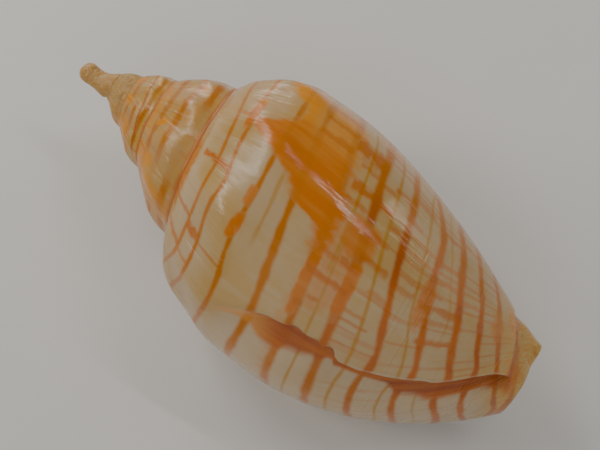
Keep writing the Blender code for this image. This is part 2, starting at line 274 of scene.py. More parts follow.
def fasciole_relief(turn, across):
    """Strip round the canal end, a little lower than the body beside it."""
    boundary = FASCIOLE_ACROSS + FASCIOLE_DRIFT * (turn + 0.36)
    past = across - boundary
    lower = smooth_step(past / 0.012) * (1.0 - smooth_step((past - 0.012) / 0.07))
    fresh = smooth_step((-0.24 - turn) / 0.08) * smooth_step((turn + 0.95) / 0.2)
    return -FASCIOLE_STEP * lower * fresh


def beak(turn, across):
    """Corner of the columella that stands out beside the notch."""
    beside = np.exp(-(((turn - BEAK_TURN) / BEAK_REACH_TURN) ** 2))
    return BEAK_RADIUS * beside * np.clip((across - BEAK_START) / (1.0 - BEAK_START), 0.0, 1.0) ** 2


def first_whorl(turn, across, radius, height):
    """Let the first whorl start at nothing on a ring, where the finger stands."""
    scale = GROWTH_PER_TURN**turn
    ring_scale = GROWTH_PER_TURN ** (FIRST_TURN + 1.0)
    share = across / SUTURE_ACROSS
    started = np.clip(turn - FIRST_TURN, 0.0, 1.0)
    grown = []
    for axis, value in enumerate((radius, height)):
        top = scale * POINTS[0][axis]
        foot = scale * POINTS[SUTURE_INDEX + 1][axis]
        ring = ring_scale * POINTS[0][axis]
        bulge = value - (top + (foot - top) * share)
        grown.append(ring + (foot - ring) * share + bulge * started)
    early = turn < FIRST_TURN + 1.0
    return np.where(early, grown[0], radius), np.where(early, grown[1], height)


def coil(turn, across, scar=break_relief):
    """Radius from the coil axis and height along it of the outer wall."""
    radius, height = outline_at(across)
    flatter = FLATTER * smooth_step((FLATTER_FROM - turn) / FLATTER_OVER)
    share = np.clip(across / SUTURE_ACROSS, 0.0, 1.0)
    inside = np.where(across < SUTURE_ACROSS, flatter, 0.0)
    foot = POINTS[SUTURE_INDEX + 1]
    radius = radius + (POINTS[0][0] + (foot[0] - POINTS[0][0]) * share - radius) * inside
    height = height + (POINTS[0][1] + (foot[1] - POINTS[0][1]) * share - height) * inside
    scale = GROWTH_PER_TURN**turn
    gather = smooth_step((across - SUTURE_ACROSS) / (1.0 - SUTURE_ACROSS))
    height = scale * height + (1.0 - scale) * BLEND_HEIGHT * gather
    lip = np.clip(1.0 + turn / FLARE_TURN, 0.0, 1.0) ** 2
    flare = np.interp(across, [0.1, 0.5, 1.0], [0.0, FLARE_MIDDLE, FLARE_CANAL])
    hollow = COLUMELLA_HOLLOW * smooth_step((HOLLOW_TURN - turn) / 0.4)
    hollow = hollow * smooth_step((across - 0.40) / 0.3)
    radius = scale * radius * (1.0 + flare * lip - hollow)
    knobs = knob_relief(turn, across) + suture_relief(turn, across)
    radius = radius + scale * knobs + scar(turn, across) + suture_swell(turn, across)
    radius = radius + fasciole_relief(turn, across) + beak(turn, across)
    return first_whorl(turn, across, radius, height)


def place(turn, radius, height):
    """Point at an azimuth, given in turns past the lip, with the shell as it lies."""
    angle = 2 * math.pi * turn + REST_ROLL
    side = -radius * np.cos(angle)
    up = -radius * np.sin(angle)
    x = height * math.cos(REST_PITCH) + up * math.sin(REST_PITCH)
    z = up * math.cos(REST_PITCH) - height * math.sin(REST_PITCH)
    return np.stack([x, side, z], axis=-1)


def outer_at(turn, across):
    """Point on the outer face of the wall, at a turn."""
    radius, height = coil(turn, across)
    return place(turn + break_tuck(turn, across), radius, height)


def calm_at(turn, across):
    """Point on the outer face as it would be without the sharp edge of the break."""
    radius, height = coil(turn, across, break_inside)
    return place(turn, radius, height)


def outer(step, across):
    """Point on the outer face of the wall, on a row of vertices."""
    return outer_at(stage(step, across), across)


def wall_normal(turn, across):
    """Unit normal of the wall, pointing out of the shell."""
    reach = 0.002
    low = np.clip(across - reach, 0.0, 1.0)
    high = np.clip(across + reach, 0.0, 1.0)
    along_growth = calm_at(turn + reach, across) - calm_at(turn - reach, across)
    along_outline = calm_at(turn, high) - calm_at(turn, low)
    normal = np.cross(along_growth, along_outline)
    return normal / np.linalg.norm(normal, axis=-1, keepdims=True)


def closed_lumen_end(turn, across, start):
    """Shorten the outline where the older lumen no longer reaches the canal."""
    older = smooth_step((-turn - NOTCH_TURNS) / 0.3)
    return across - (across - start) * LUMEN_SHORTENING * older


def parietal(turn, across):
    """Inner side of the lumen: the whorl before it, with the columella folds."""
    across = closed_lumen_end(turn, across, SUTURE_ACROSS + PARIETAL_START)
    radius, height = coil(turn - 1.0, across)
    inside = smooth_step(-turn / 0.12)
    for place_across in FOLDS:
        ridge = np.exp(-((across - place_across - 0.05 * turn) / 0.018) ** 2)
        radius = radius + FOLD_HEIGHT * inside * ridge
    return place(turn, radius, height)


def lining(step, across):
    """Inner face of the outer wall, which meets the parietal side under the suture."""
    turn = stage(step, across)
    reach = closed_lumen_end(turn, across, 0.0)
    wall = WALL * GROWTH_PER_TURN ** (0.8 * turn)
    point = calm_at(turn, reach) - wall_normal(turn, reach) * np.asarray(wall)[..., None]
    corner = parietal(step, np.full_like(step, SUTURE_ACROSS + PARIETAL_START))
    blend = smooth_step(across / 0.05)[..., None]
    return corner * (1.0 - blend) + point * blend


def wall_edge(step, depth):
    """Rounded free edge of the wall: along the lip, then back along the notch."""
    row = -np.clip(step - 1.0, 0.0, None)
    across = np.clip(step, 0.0, 1.0)
    outside = outer(row, across)
    inside = lining(row, across)
    back = outer(row - 0.004, across)
    shorter = outer(row, across - 0.004)
    notch = smooth_step((step - 0.97) / 0.06)[..., None]
    forward = (outside - back) * (1.0 - notch) + (outside - shorter) * notch
    forward = forward / np.linalg.norm(forward, axis=-1, keepdims=True)
    bulge = 0.5 * np.linalg.norm(outside - inside, axis=-1) * np.sin(math.pi * depth)
    middle = outside + (inside - outside) * (0.5 - 0.5 * np.cos(math.pi * depth))[..., None]
    rounded = middle + forward * bulge[..., None] * smooth_step(step / 0.05)[..., None]
    attached = outer(row - 1.0, SUTURE_ACROSS + PARIETAL_START * depth)
    at_suture = (step < 1e-6)[..., None]
    return np.where(at_suture, attached, rounded)


def canal_wall(step, side):
    """Narrow face that closes the older lumen at its front."""
    ends = np.ones_like(step)
    blend = side[..., None]
    return lining(step, ends) * (1.0 - blend) + parietal(step, ends) * blend


def sheet(bm, point, first, second, chart, finish):
    """Grid of quads whose vertices are placed by a function of two parameters."""
    grid = bmesh.ops.create_grid(bm, x_segments=len(first) - 1, y_segments=len(second) - 1,
                                 size=1.0)
    verts = grid["verts"]
    flat = np.array([vert.co.xy for vert in verts])
    one = first[np.rint((flat[:, 0] + 1.0) / 2.0 * (len(first) - 1)).astype(int)]
    two = second[np.rint((flat[:, 1] + 1.0) / 2.0 * (len(second) - 1)).astype(int)]
    marks = dict(zip(verts, zip(*chart(one, two))))
    for vert, position in zip(verts, point(one, two)):
        vert.co = position
    layer = bm.loops.layers.uv["growth"]
    for face in {face for vert in verts for face in vert.link_faces}:
        face.material_index = finish
        for loop in face.loops:
            loop[layer].uv = marks[loop.vert]


def rows(start, stop):
    """Rows of vertices at even steps, with extra ones along the healed break."""
    even = np.linspace(start, stop, round((stop - start) * ROWS_PER_TURN) + 1)
    near = [turn + BREAK_ROW + offset for turn in range(-4, 1) for offset in BREAK_OFFSETS]
    extra = [value for value in near if start < value < stop]
    return np.unique(np.round(np.concatenate([even, extra]), 6))


def add_walls(bm):
    """All the grown surfaces, meeting along shared rows of vertices."""
    ramp = np.linspace(0.0, SUTURE_ACROSS, RAMP_COLUMNS + 1)
    corner = SUTURE_ACROSS + np.linspace(0.0, PARIETAL_START, CORNER_COLUMNS + 1)
    base = np.linspace(corner[-1], 1.0, BASE_COLUMNS + 1)
    body = np.concatenate([corner, base[1:]])
    lip = np.concatenate([ramp, body[1:]])
    back = rows(-NOTCH_TURNS, 0.0)[::-1]
    notch = 1.0 - back
    lumen = rows(-LUMEN_TURNS, 0.0)
    rim = np.linspace(0.0, 1.0, RIM_SEGMENTS + 1)

    def on_wall(step, across):
        return stage(step, across), across

    def on_edge(step, _):
        return -np.clip(step - 1.0, 0.0, None), np.clip(step, 0.0, 1.0)

    def on_canal_wall(step, side):
        return step, np.ones_like(side)

    sheet(bm, outer, rows(FIRST_TURN, 0.0), ramp, on_wall, 0)
    sheet(bm, outer, rows(-1.0, 0.0), body, on_wall, 0)
    sheet(bm, parietal, lumen, base, on_wall, 1)
    sheet(bm, lining, lumen, lip, on_wall, 1)
    sheet(bm, wall_edge, np.concatenate([lip, notch[1:]]), rim, on_edge, 0)
    sheet(bm, canal_wall, rows(-LUMEN_TURNS, -NOTCH_TURNS), np.array([0.0, 1.0]),
          on_canal_wall, 1)


def open_loop_near(bm, target):
    """Open edges of the boundary loop whose middle is nearest a point."""
    waiting = {edge for edge in bm.edges if edge.is_boundary}
    loops = []
    while waiting:
        loop = [waiting.pop()]
        for edge in loop:
            for vert in edge.verts:
                linked = [other for other in vert.link_edges if other in waiting]
                waiting.difference_update(linked)
                loop.extend(linked)
        loops.append(loop)

    def distance(loop):
        middle = sum((np.array(vert.co) for edge in loop for vert in edge.verts), np.zeros(3))
        return np.linalg.norm(middle / (2 * len(loop)) - target)

    return min(loops, key=distance)


def grow_loop(bm, loop, move, mark, finish):
    """Extrude a loop of edges once, and return the new loop."""
    grown = bmesh.ops.extrude_edge_only(bm, edges=loop)
    verts = {item for item in grown["geom"] if isinstance(item, bmesh.types.BMVert)}
    move(verts)
    layer = bm.loops.layers.uv["growth"]
    for item in grown["geom"]:
        if isinstance(item, bmesh.types.BMFace):
            item.material_index = finish
            for corner in item.loops:
                corner[layer].uv = mark
    edges = [item for item in grown["geom"] if isinstance(item, bmesh.types.BMEdge)]
    return [edge for edge in edges if verts.issuperset(edge.verts)]


def close_loop(bm, loop, mark, finish):
    """Fill a loop with one face."""
    made = bmesh.ops.contextual_create(bm, geom=loop)
    layer = bm.loops.layers.uv["growth"]
    for face in made["faces"]:
        face.material_index = finish
        for corner in face.loops:
            corner[layer].uv = mark


def ring_place(position, radius, height, lean):
    """Move a point along its azimuth to a ring that leans off the coil axis."""
    axis = place(0.0, 0.0, height)
    direction = np.array(position) - axis
    along = place(0.0, 0.0, 1.0) - place(0.0, 0.0, 0.0)
    direction = direction - along * direction.dot(along)
    centre = place(FINGER_LEAN_TURN, lean, height)
    return centre + direction / np.linalg.norm(direction) * radius


def add_finger(bm):
    """Draw the open top of the first whorl out into the embryonic finger."""
    loop = open_loop_near(bm, place(FIRST_TURN, 0.0, 5.0 * MM))
    for radius, height, lean in FINGER:
        def move(verts):
            for vert in verts:
                vert.co = ring_place(vert.co, radius, height, lean)
        loop = grow_loop(bm, loop, move, (FIRST_TURN - 0.5, 0.1), 0)
    close_loop(bm, loop, (FIRST_TURN - 0.5, 0.1), 0)


def add_columella_end(bm):
    """Close the front of the columella with a low dome."""
    loop = open_loop_near(bm, place(0.0, 0.0, 112 * MM))
    middle = np.mean([vert.co for edge in loop for vert in edge.verts], axis=0)
    forward = place(0.0, 0.0, 1.0)
    shares = np.linspace(0.0, 1.0, END_RINGS + 1)
    sizes = 1.0 - (1.0 - END_SHRINK) * shares
    rises = END_BULGE * np.sin(math.pi / 2 * shares)
    for size, rise in zip(sizes[1:] / sizes[:-1], np.diff(rises)):
        def move(verts):
            for vert in verts:
                vert.co = middle + (np.array(vert.co) - middle) * size + forward * rise
        loop = grow_loop(bm, loop, move, (-0.6, 0.97), 1)
    close_loop(bm, loop, (-0.6, 0.97), 1)


def stand(bm):
    """Bring the origin under the middle of the shell, at its lowest point."""
    low = np.array([min(vert.co[axis] for vert in bm.verts) for axis in range(3)])
    high = np.array([max(vert.co[axis] for vert in bm.verts) for axis in range(3)])
    shift = -np.array([(low[0] + high[0]) / 2, (low[1] + high[1]) / 2, low[2]])
    bmesh.ops.translate(bm, verts=bm.verts, vec=shift)
    return shift


def make_shell():
    """The whole shell as one piece."""
    bm = bmesh.new()
    bm.loops.layers.uv.new("growth")
    add_walls(bm)
    bmesh.ops.remove_doubles(bm, verts=bm.verts, dist=WELD)
    add_finger(bm)
    add_columella_end(bm)
    close_loop(bm, open_loop_near(bm, place(-LUMEN_TURNS, 12 * MM, 40 * MM)), (-0.95, 0.5), 1)
    bmesh.ops.recalc_face_normals(bm, faces=bm.faces)
    if bm.calc_volume(signed=True) < 0.0:
        bmesh.ops.reverse_faces(bm, faces=bm.faces)
    shift = stand(bm)
    mesh = bpy.data.meshes.new("volute")
    bm.to_mesh(mesh)
    bm.free()
    mesh.shade_smooth()
    shell = bpy.data.objects.new("volute", mesh)
    bpy.context.scene.collection.objects.link(shell)
    return shell, shift


# Colours of the wall
CREAM = (0.52, 0.37, 0.205)
WARM_CREAM = (0.51, 0.32, 0.115)
PALE_CREAM = (0.56, 0.43, 0.29)
TAN = (0.50, 0.26, 0.05)
AMBER = (0.62, 0.27, 0.025)
FLAME = (0.72, 0.27, 0.012)
DEEP_FLAME = (0.60, 0.165, 0.006)
YELLOW_LINE = (0.47, 0.22, 0.010)
GOLD_LINE = (0.50, 0.160, 0.002)
ORANGE_LINE = (0.52, 0.135, 0.003)
BROWN_LINE = (0.43, 0.090, 0.003)
# Brown of the band below the break, partly painted shade in its hollow
SHADED_BAND_BROWN = (0.36, 0.065, 0.003)
# Painted shadow: dark brown under the broken edge and in the corner of the suture
SHADOW_BROWN = (0.08, 0.020, 0.005)
# Painted highlight: pale rim along the broken edge
RIM_HIGHLIGHT = (0.60, 0.48, 0.32)
STRIP_YELLOW = (0.57, 0.36, 0.09)
FINGER_TAN = (0.48, 0.31, 0.12)
PEACH = (0.79, 0.46, 0.25)

# Colours of the lining, from deep inside to the lip
DEEP_PEACH = (0.78, 0.42, 0.20)
LIGHT_PEACH = (0.80, 0.50, 0.29)
LIP_CREAM = (0.78, 0.58, 0.42)

# Glaze: refraction, depth of the fine relief, and the lining's clear coat
GLAZE_IOR = 1.44
WALL_RELIEF = 0.12 * MM
LINING_RELIEF = 0.03 * MM
LINING_COAT = 0.4
LINING_COAT_ROUGHNESS = 0.1

# How far the growing edge sweeps back, across the wall
LIP_BEND = [(0.62, 0.0), (0.70, 0.03), (0.80, 0.12), (0.90, 0.32), (0.99, 0.62)]

# Lines of the net: width, strength, and a few places (turn, across) that each runs through
NET_LINES = [
    (0.011, 0.9, [(-0.6, 0.09), (-0.46, 0.085), (-0.35, 0.117), (-0.3, 0.131), (-0.19, 0.13),
        (-0.1, 0.075)]),
    (0.012, 0.95, [(-0.6, 0.185), (-0.46, 0.15), (-0.41, 0.147), (-0.38, 0.158), (-0.33, 0.165),
        (-0.29, 0.18), (-0.265, 0.173), (-0.2, 0.184), (-0.17, 0.177), (-0.09, 0.13)]),
    (0.014, 0.95, [(-0.6, 0.285), (-0.5, 0.262), (-0.31, 0.268), (-0.24, 0.27), (-0.2, 0.278),
        (-0.17, 0.272), (-0.14, 0.255), (-0.08, 0.23)]),
    (0.02, 1.0, [(-0.6, 0.372), (-0.46, 0.335), (-0.36, 0.352), (-0.3, 0.365), (-0.26, 0.377),
        (-0.21, 0.382), (-0.17, 0.372), (-0.08, 0.345)]),
    (0.019, 1.0, [(-0.5, 0.42), (-0.42, 0.425), (-0.36, 0.442), (-0.31, 0.45), (-0.25, 0.462),
        (-0.21, 0.467), (-0.17, 0.457), (-0.08, 0.455)]),
    (0.019, 1.0, [(-0.52, 0.5), (-0.42, 0.503), (-0.38, 0.512), (-0.31, 0.53), (-0.27, 0.538),
        (-0.2, 0.545), (-0.07, 0.55)]),
    (0.015, 1.0, [(-0.52, 0.565), (-0.46, 0.568), (-0.42, 0.577), (-0.34, 0.597), (-0.27, 0.625),
        (-0.22, 0.643), (-0.17, 0.632), (-0.12, 0.64), (-0.06, 0.655)]),
    (0.015, 1.0, [(-0.5, 0.62), (-0.46, 0.63), (-0.42, 0.65), (-0.34, 0.672), (-0.27, 0.705),
        (-0.22, 0.725), (-0.19, 0.716), (-0.1, 0.745), (-0.06, 0.755)]),
    (0.018, 1.0, [(-0.5, 0.68), (-0.42, 0.705), (-0.38, 0.72), (-0.34, 0.742), (-0.27, 0.778),
        (-0.23, 0.8), (-0.2, 0.795), (-0.13, 0.83), (-0.08, 0.845)]),
    (0.016, 1.0, [(-0.5, 0.73), (-0.46, 0.74), (-0.42, 0.757), (-0.38, 0.782), (-0.31, 0.818),
        (-0.28, 0.84), (-0.22, 0.85), (-0.13, 0.89), (-0.08, 0.91)]),
    (0.017, 0.95, [(-0.5, 0.785), (-0.42, 0.82), (-0.38, 0.84), (-0.3, 0.89), (-0.24, 0.925),
        (-0.2, 0.945), (-0.14, 0.965)]),
    (0.02, 0.8, [(-0.5, 0.88), (-0.4, 0.92), (-0.3, 0.965), (-0.2, 0.99)]),
]

# Thin, yellower lines: the same, with the turns between which each is seen
THIN_LINES = [
    (0.006, 0.55, (-9.0, -0.02), [(-0.4, 0.03), (-0.2, 0.045)]),
    (0.01, 0.55, (-0.36, -0.25), [(-0.34, 0.312), (-0.3, 0.318), (-0.24, 0.32)]),
    (0.007, 0.85, (-9.0, -0.27), [(-0.5, 0.462), (-0.44, 0.47), (-0.38, 0.478), (-0.29, 0.49)]),
    (0.006, 0.75, (-0.34, 0.1), [(-0.32, 0.495), (-0.25, 0.502), (-0.2, 0.505), (-0.08, 0.497)]),
    (0.007, 0.8, (-9.0, 0.1), [(-0.5, 0.53), (-0.45, 0.537), (-0.36, 0.555), (-0.32, 0.568),
        (-0.25, 0.592), (-0.2, 0.598), (-0.15, 0.592), (-0.08, 0.6)]),
    (0.006, 0.75, (-9.0, 0.1), [(-0.46, 0.61), (-0.42, 0.62), (-0.34, 0.645), (-0.3, 0.66),
        (-0.25, 0.688), (-0.21, 0.7), (-0.17, 0.69), (-0.07, 0.71)]),
    (0.005, 0.55, (-9.0, -0.28), [(-0.48, 0.655), (-0.38, 0.693), (-0.3, 0.735)]),
    (0.005, 0.55, (-0.22, 0.1), [(-0.2, 0.755), (-0.08, 0.795)]),
]
ROUTE_START = -0.60

# Bars that join lines of the net: stage of growth, from and to across, half width, strength
BARS = [
    (-0.31, 0.07, 0.175, 0.005, 0.95), (-0.233, 0.045, 0.13, 0.003, 0.85),
    (-0.222, 0.13, 0.182, 0.0055, 1.0), (-0.192, 0.04, 0.135, 0.004, 0.85),
    (-0.188, 0.135, 0.18, 0.002, 0.6), (-0.218, 0.185, 0.272, 0.0016, 0.6),
    (-0.385, 0.115, 0.155, 0.004, 0.75), (-0.43, 0.43, 0.505, 0.013, 0.9),
    (-0.38, 0.455, 0.55, 0.006, 0.85), (-0.45, 0.505, 0.66, 0.002, 0.55),
    (-0.405, 0.51, 0.54, 0.004, 0.55), (-0.277, 0.45, 0.54, 0.0035, 0.85),
    (-0.3, 0.455, 0.5, 0.003, 0.6), (-0.242, 0.455, 0.475, 0.004, 0.6),
    (-0.254, 0.475, 0.5, 0.002, 0.6), (-0.262, 0.545, 0.59, 0.0022, 0.55),
    (-0.252, 0.545, 0.605, 0.0014, 0.65), (-0.243, 0.545, 0.59, 0.0014, 0.5),
    (-0.226, 0.545, 0.64, 0.0012, 0.55), (-0.292, 0.57, 0.62, 0.003, 0.45),
    (-0.315, 0.6, 0.65, 0.004, 0.5), (-0.33, 0.6, 0.655, 0.0025, 0.5),
    (-0.349, 0.6, 0.64, 0.003, 0.45), (-0.283, 0.62, 0.67, 0.003, 0.4),
    (-0.262, 0.69, 0.76, 0.005, 0.85), (-0.31, 0.665, 0.74, 0.006, 0.75),
    (-0.33, 0.66, 0.7, 0.004, 0.55), (-0.425, 0.64, 0.705, 0.004, 0.7),
    (-0.44, 0.7, 0.745, 0.004, 0.7), (-0.4, 0.755, 0.8, 0.004, 0.6),
    (-0.16, 0.64, 0.66, 0.002, 0.35), (-0.172, 0.69, 0.735, 0.002, 0.35),
    (-0.415, 0.535, 0.572, 0.0035, 0.6), (-0.432, 0.572, 0.625, 0.003, 0.55),
    (-0.395, 0.575, 0.612, 0.003, 0.55), (-0.368, 0.555, 0.595, 0.0045, 0.6),
    (-0.36, 0.61, 0.65, 0.003, 0.5), (-0.302, 0.5, 0.53, 0.0045, 0.75),
    (-0.318, 0.53, 0.59, 0.0045, 0.65), (-0.345, 0.53, 0.57, 0.004, 0.6),
    (-0.465, 0.5, 0.565, 0.004, 0.6), (-0.408, 0.455, 0.5, 0.0035, 0.55),
    (-0.36, 0.455, 0.505, 0.0035, 0.6), (-0.375, 0.655, 0.715, 0.004, 0.6),
    (-0.35, 0.66, 0.735, 0.0045, 0.6), (-0.292, 0.68, 0.77, 0.0035, 0.55),
    (-0.44, 0.335, 0.43, 0.005, 0.6), (-0.415, 0.335, 0.43, 0.006, 0.65),
    (-0.468, 0.335, 0.43, 0.005, 0.6), (-0.335, 0.74, 0.815, 0.003, 0.5),
    (-0.365, 0.72, 0.78, 0.003, 0.5), (-0.425, 0.755, 0.82, 0.0035, 0.5),
]
BAR_END = 0.004

# Orange patches: turn and place across, reach along and across, slant, strength
PATCHES = [
    (-0.3, 0.262, 0.012, 0.014, 0.0, 0.8), (-0.268, 0.264, 0.014, 0.017, 0.3, 1.0),
    (-0.332, 0.515, 0.022, 0.04, 0.0, 0.85), (-0.285, 0.497, 0.045, 0.03, 0.0, 0.4),
    (-0.27, 0.458, 0.046, 0.013, 0.0, 0.95), (-0.28, 0.536, 0.036, 0.014, -0.1, 0.95),
    (-0.395, 0.153, 0.034, 0.014, 0.0, 1.0), (-0.265, 0.016, 0.06, 0.034, 0.0, 0.85),
    (-0.32, 0.672, 0.036, 0.016, -0.5, 0.7), (-0.385, 0.835, 0.03, 0.02, -0.6, 0.6),
    (-0.47, 0.875, 0.06, 0.028, -0.2, 0.95), (-0.31, 0.945, 0.06, 0.028, -0.3, 0.75),
    (-1.305, 0.11, 0.01, 0.035, 0.3, 1.0), (-1.213, 0.12, 0.016, 0.035, 0.0, 1.0),
    (-1.15, 0.2, 0.04, 0.16, 0.0, 0.7), (-1.44, 0.22, 0.012, 0.02, 0.0, 0.8),
    (-1.195, 0.06, 0.036, 0.08, 0.0, 0.9), (-1.37, 0.02, 0.12, 0.04, 0.0, 0.6),
    (-2.3, 0.07, 0.022, 0.05, 0.0, 1.0), (-2.43, 0.06, 0.035, 0.055, 0.0, 0.9),
    (-2.15, 0.11, 0.08, 0.11, 0.0, 0.95), (-3.15, 0.2, 0.08, 0.2, 0.0, 0.8),
    (-0.49, 0.5, 0.018, 0.04, 0.0, 0.8), (-0.5, 0.6, 0.014, 0.06, -0.1, 0.75),
    (-0.8, 0.3, 0.06, 0.11, -0.1, 0.9), (-0.64, 0.5, 0.03, 0.06, 0.0, 0.7),
    (-0.9, 0.64, 0.04, 0.05, 0.0, 0.7),
]

# Large flame on the shoulder: its upper and lower edge across the wall, at a few turns
FLAME_TOP = [(-0.56, 0.3), (-0.5, 0.24), (-0.475, 0.2), (-0.455, 0.215), (-0.43, 0.275),
             (-0.41, 0.27), (-0.39, 0.215), (-0.374, 0.17), (-0.362, 0.21), (-0.35, 0.27),
             (-0.34, 0.32), (-0.325, 0.355), (-0.312, 0.43), (-0.25, 0.45)]
FLAME_FOOT = [(-0.56, 0.34), (-0.51, 0.4), (-0.46, 0.435), (-0.4, 0.445), (-0.365, 0.455),
              (-0.345, 0.475), (-0.325, 0.478), (-0.305, 0.47), (-0.28, 0.466), (-0.25, 0.45)]
FLAME_EDGE = 0.022

# Orange band in the hollow below the healed break, its brown partly painted shade: its width in
# turns, across the wall
BAND_WIDTH = [(0.3, 0.008), (0.38, 0.018), (0.45, 0.04), (0.52, 0.032), (0.55, 0.028),
              (0.6, 0.018), (0.68, 0.024), (0.72, 0.04), (0.76, 0.044), (0.8, 0.052), (0.9, 0.05)]


class Value:
    """Number or colour that shader nodes work out, with plain arithmetic for numbers."""

    def __init__(self, tree, socket):
        self.tree = tree
        self.socket = socket

    def math(self, operation, *others):
        """One math node that takes this number first."""
        node = self.tree.nodes.new("ShaderNodeMath")
        node.operation = operation
        for socket, value in zip(node.inputs, (self, *others)):
            feed(socket, value)
        return Value(self.tree, node.outputs[0])

    def clamped(self):
        """The same number, kept between 0 and 1."""
        self.socket.node.use_clamp = True
        return self

    def __add__(self, other):
        return self.math("ADD", other)

    def __sub__(self, other):
        return self.math("SUBTRACT", other)

    def __rsub__(self, other):
        return self.math("MULTIPLY_ADD", -1.0, other)

    def __mul__(self, other):
        return self.math("MULTIPLY", other)

    def __truediv__(self, other):
        return self.math("DIVIDE", other)

    def __pow__(self, other):
        return self.math("POWER", other)

    def __abs__(self):
        return self.math("ABSOLUTE")

    __radd__ = __add__
    __rmul__ = __mul__


def feed(socket, value):
    """Link a socket to what nodes work out, or give it a plain number or colour."""
    if isinstance(value, Value):
        value.tree.links.new(value.socket, socket)
    elif isinstance(value, tuple):
        socket.default_value = (*value, 1.0)
    else:
        socket.default_value = value


def made(tree, kind, inputs, output=0, **settings):
    """What one new node gives, from its inputs and settings."""
    node = tree.nodes.new("ShaderNode" + kind)
    for name, setting in settings.items():
        setattr(node, name, setting)
    for label, value in inputs.items():
        feed(node.inputs[label], value)
    return Value(tree, node.outputs[output])


def larger(one, two):
    """The larger of two numbers."""
    return one.math("MAXIMUM", two)


def after(value, before):
    """The same value, but worked out only after another one, so that few wait at once."""
    return value + before * 1e-6


def ease(value, start, stop, low=0.0, high=1.0):
    """Smooth step of a value between two places."""
    return made(value.tree, "MapRange", {"Value": value, "From Min": start, "From Max": stop,
                                         "To Min": low, "To Max": high},
                interpolation_type="SMOOTHSTEP")


def wander(value, scale, detail=1.0):
    """Smooth noise along one number, from -1 to 1."""
    noise = made(value.tree, "TexNoise", {"W": value, "Scale": scale, "Detail": detail},
                 noise_dimensions="1D")
    return noise * 2.0 - 1.0


def pair(one, two):
    """Vector from two numbers."""
    return made(one.tree, "CombineXYZ", {"X": one, "Y": two})


def split(vector):
    """The three numbers of a vector or colour."""
    node = vector.tree.nodes.new("ShaderNodeSeparateXYZ")
    feed(node.inputs[0], vector)
    return [Value(vector.tree, output) for output in node.outputs]


def cloud(vector, scale, detail=2.0):
    """Smooth noise over a surface, from 0 to 1."""
    return made(vector.tree, "TexNoise", {"Vector": vector, "Scale": scale, "Detail": detail})


def tint(mask, under, over):
    """Mix of two colours by a mask."""
    return made(mask.tree, "Mix", {"Factor": mask, 6: under, 7: over}, 2, data_type="RGBA")


def curve_of(value, places):
    """Number that follows a few places (value, number) along another one, from 0 to 1."""
    node = value.tree.nodes.new("ShaderNodeFloatCurve")
    node.mapping.extend = "HORIZONTAL"
    points = node.mapping.curves[0].points
    points[0].location = (0.0, places[0][1])
    points[1].location = (1.0, places[-1][1])
    for place_at, number in places:
        if 0.0 < place_at < 1.0:
            points.new(place_at, number)
    for point in points:
        point.handle_type = "AUTO_CLAMPED"
    node.mapping.update()
    feed(node.inputs["Value"], value)
    return Value(value.tree, node.outputs[0])


def new_group(name, inputs, outputs):
    """Shader node group: its tree, its inputs as values, and the sockets of its outputs."""
    tree = bpy.data.node_groups.new(name, "ShaderNodeTree")
    for way, labels in (("INPUT", inputs), ("OUTPUT", outputs)):
        for label in labels:
            tree.interface.new_socket(label, in_out=way, socket_type="NodeSocketFloat")
    given = tree.nodes.new("NodeGroupInput").outputs
    result = tree.nodes.new("NodeGroupOutput").inputs
    return tree, [Value(tree, given[label]) for label in inputs], result


def use_group(group, **values):
    """Place a node group, feed its inputs, and give its outputs by name."""
    tree = next(value.tree for value in values.values() if isinstance(value, Value))
    node = tree.nodes.new("ShaderNodeGroup")
    node.node_tree = group
    for label, value in values.items():
        feed(node.inputs[label], value)
    return {output.name: Value(tree, output) for output in node.outputs}


def net_line_group():
    """One wavy line of the net, which runs with the growth of the shell."""
    tree, (turn, across, middle, width, seed), result = new_group(
        "net_line", ["Turn", "Across", "Route", "Width", "Seed"], ["Line", "Past"])
    walk = turn + seed
    free = ease(turn, -0.55, -0.75, 0.002, 0.008)
    middle = wander(walk, 9.0, 2.0) * free + middle
    middle = wander(walk, 70.0, 2.0) * 0.0009 + middle
    offset = across - middle
    half = width * (wander(walk + 31.7, 34.0, 3.0) * 0.24 + 0.5)
    soft = width * 0.24 + 0.0012
    line = ease(abs(offset), half - soft, half + soft, 1.0, 0.0)
    fade = ease(wander(walk + 11.3, 5.0), -0.35, 0.10, 0.1, 1.0)
    older = ease(turn, -0.95, -1.1)
    feed(result["Line"], line * ease(older, 0.0, 1.0, 1.0, fade))
    feed(result["Past"], offset.math("GREATER_THAN", 0.0))
    return tree


def bar_group():
    """A bar of the net along a growth line, with soft, uneven edges."""
    tree, (growth, across, at, start, stop, half, uneven), result = new_group(
        "bar", ["Growth", "Across", "At", "From", "To", "Half", "Uneven"], ["Bar"])
    offset = (uneven - 0.5) * half * 2.5 + (growth - at)
    bar = ease(abs(offset), half * 0.3, half * 1.4 + 0.0009, 1.0, 0.0)
    ends = (ease(across, start - BAR_END, start + BAR_END)
            * ease(across, stop - BAR_END, stop + BAR_END, 1.0, 0.0))
    feed(result["Bar"], bar * ends)
    return tree


def patch_group():
    """A soft patch of colour with a ragged edge."""
    tree, (turn, across, middle, level, reach, depth, slant, ragged), result = new_group(
        "patch", ["Turn", "Across", "Middle", "Level", "Reach", "Depth", "Slant", "Ragged"],
        ["Patch"])
    below = across - level
    beside = below * slant + (turn - middle)
    size = abs(beside / reach) ** 3.0 + abs(below / depth) ** 3.0
    size = ragged * 1.8 + (size - 0.9)
    feed(result["Patch"], ease(size, 0.25, 1.5, 1.0, 0.0))
    return tree


